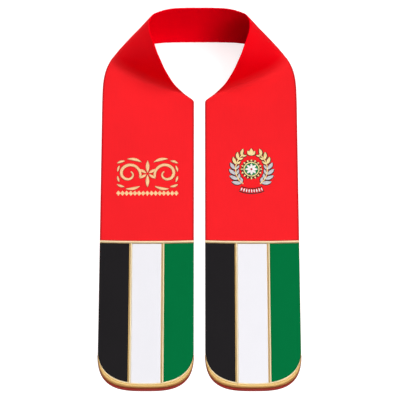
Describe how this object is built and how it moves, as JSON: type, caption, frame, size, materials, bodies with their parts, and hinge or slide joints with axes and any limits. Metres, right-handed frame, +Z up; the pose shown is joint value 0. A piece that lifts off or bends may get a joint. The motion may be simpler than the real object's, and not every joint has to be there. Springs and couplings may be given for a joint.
{
  "type": "flag scarf",
  "caption": "Cloth sash laid flat, legs side by side and neck standing in a loop, with black, white and green striped ends, gold piping, corded round hems and raised thread work",
  "frame": {"origin": "The middle of the whole laid scarf's bounding box, on the surface that it lies on.", "axes": "+X runs across the two legs, from the left leg to the right one as the wearer's front is seen. +Y runs along the legs from the rounded ends to the neck. +Z is up, away from the surface, and the face side of the legs looks along +Z."},
  "size_m": [0.319, 0.6075, 0.1307],
  "materials": {
    "black_cloth": "fine polyester weave, matt",
    "gold_braid": "twisted pale gold cord, semi-gloss",
    "gold_thread": "satin-stitch embroidery in pale gold rayon",
    "green_cloth": "fine polyester weave, matt",
    "green_thread": "satin-stitch embroidery",
    "red_lining": "plain-weave polyester lining, matt",
    "red_satin": "satin-weave polyester, soft sheen",
    "red_thread": "satin-stitch embroidery",
    "white_cloth": "fine polyester weave, matt",
    "white_thread": "satin-stitch embroidery"
  },
  "bodies": {
    "root": {"black_stripe_left": "black_cloth", "black_stripe_right": "black_cloth", "cross_piping_left": "gold_braid", "cross_piping_right": "gold_braid", "green_stripe_left": "green_cloth", "green_stripe_right": "green_cloth", "hem_cord_left": "gold_braid", "hem_cord_right": "gold_braid", "lining": "red_lining", "lozenge_row": "gold_thread", "palmette": "gold_thread", "piping_left_1": "gold_braid", "piping_left_2": "gold_braid", "piping_right_1": "gold_braid", "piping_right_2": "gold_braid", "red_face": "red_satin", "ribbon": "red_thread", "rosette": "white_thread", "roundel": "green_thread", "scroll_left": "gold_thread", "scroll_right": "gold_thread", "white_stripe_left": "white_cloth", "white_stripe_right": "white_cloth", "wreath_left": "gold_thread", "wreath_right": "gold_thread"}
  },
  "joints": []
}
